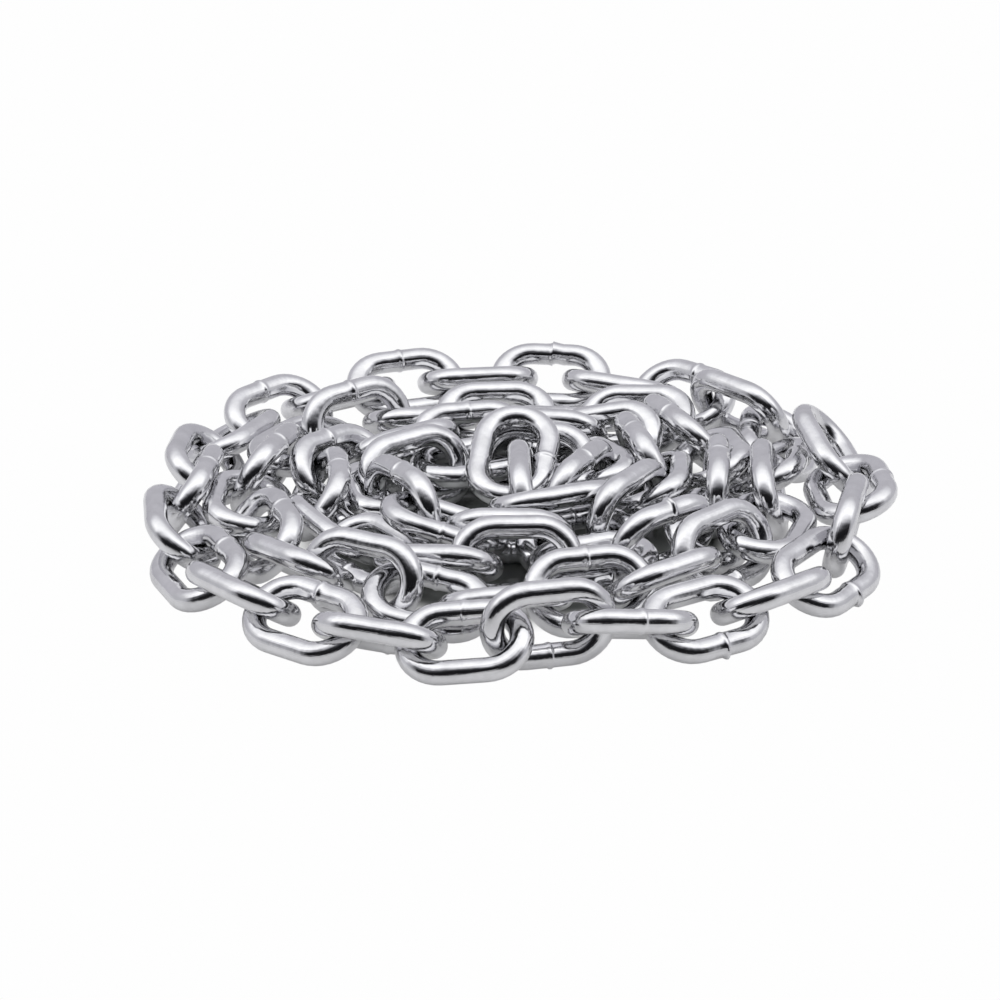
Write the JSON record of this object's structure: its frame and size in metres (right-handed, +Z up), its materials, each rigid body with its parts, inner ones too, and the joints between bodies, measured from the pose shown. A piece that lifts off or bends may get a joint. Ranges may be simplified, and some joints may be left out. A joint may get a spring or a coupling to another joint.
{
  "type": "heap of steel chain",
  "caption": "Low spiral heap of bright zinc-plated short-link steel chain, coiled clockwise from its outer end link and lying loose on a floor, to be lifted, cut to length or shackled.",
  "frame": {"origin": "middle of the bottom of the box round the heap, on the floor", "axes": "+Z up; +X to the right and -Y towards the viewer of the picture; the chain's outer end link lies at +X, +Y"},
  "size_m": [0.224, 0.22, 0.0283],
  "materials": {
    "zinc_plated_steel": "bright electroplated zinc over drawn and electrically welded steel wire, glossy to satin, slightly cloudy on the broad curves"
  },
  "bodies": {
    "root": {"link_01": "zinc_plated_steel", "link_02": "zinc_plated_steel", "link_03": "zinc_plated_steel", "link_04": "zinc_plated_steel", "link_05": "zinc_plated_steel", "link_06": "zinc_plated_steel", "link_07": "zinc_plated_steel", "link_08": "zinc_plated_steel", "link_09": "zinc_plated_steel", "link_10": "zinc_plated_steel", "link_11": "zinc_plated_steel", "link_12": "zinc_plated_steel", "link_13": "zinc_plated_steel", "link_14": "zinc_plated_steel", "link_15": "zinc_plated_steel", "link_16": "zinc_plated_steel", "link_17": "zinc_plated_steel", "link_18": "zinc_plated_steel", "link_19": "zinc_plated_steel", "link_20": "zinc_plated_steel", "link_21": "zinc_plated_steel", "link_22": "zinc_plated_steel", "link_23": "zinc_plated_steel", "link_24": "zinc_plated_steel", "link_25": "zinc_plated_steel", "link_26": "zinc_plated_steel", "link_27": "zinc_plated_steel", "link_28": "zinc_plated_steel", "link_29": "zinc_plated_steel", "link_30": "zinc_plated_steel", "link_31": "zinc_plated_steel", "link_32": "zinc_plated_steel", "link_33": "zinc_plated_steel", "link_34": "zinc_plated_steel", "link_35": "zinc_plated_steel", "link_36": "zinc_plated_steel", "link_37": "zinc_plated_steel", "link_38": "zinc_plated_steel", "link_39": "zinc_plated_steel", "link_40": "zinc_plated_steel", "link_41": "zinc_plated_steel", "link_42": "zinc_plated_steel", "link_43": "zinc_plated_steel", "link_44": "zinc_plated_steel", "link_45": "zinc_plated_steel", "link_46": "zinc_plated_steel", "link_47": "zinc_plated_steel", "link_48": "zinc_plated_steel", "link_run_01": "zinc_plated_steel", "link_run_02": "zinc_plated_steel", "link_run_03": "zinc_plated_steel", "link_run_04": "zinc_plated_steel", "link_run_05": "zinc_plated_steel", "link_run_06": "zinc_plated_steel", "link_run_07": "zinc_plated_steel"}
  },
  "joints": []
}
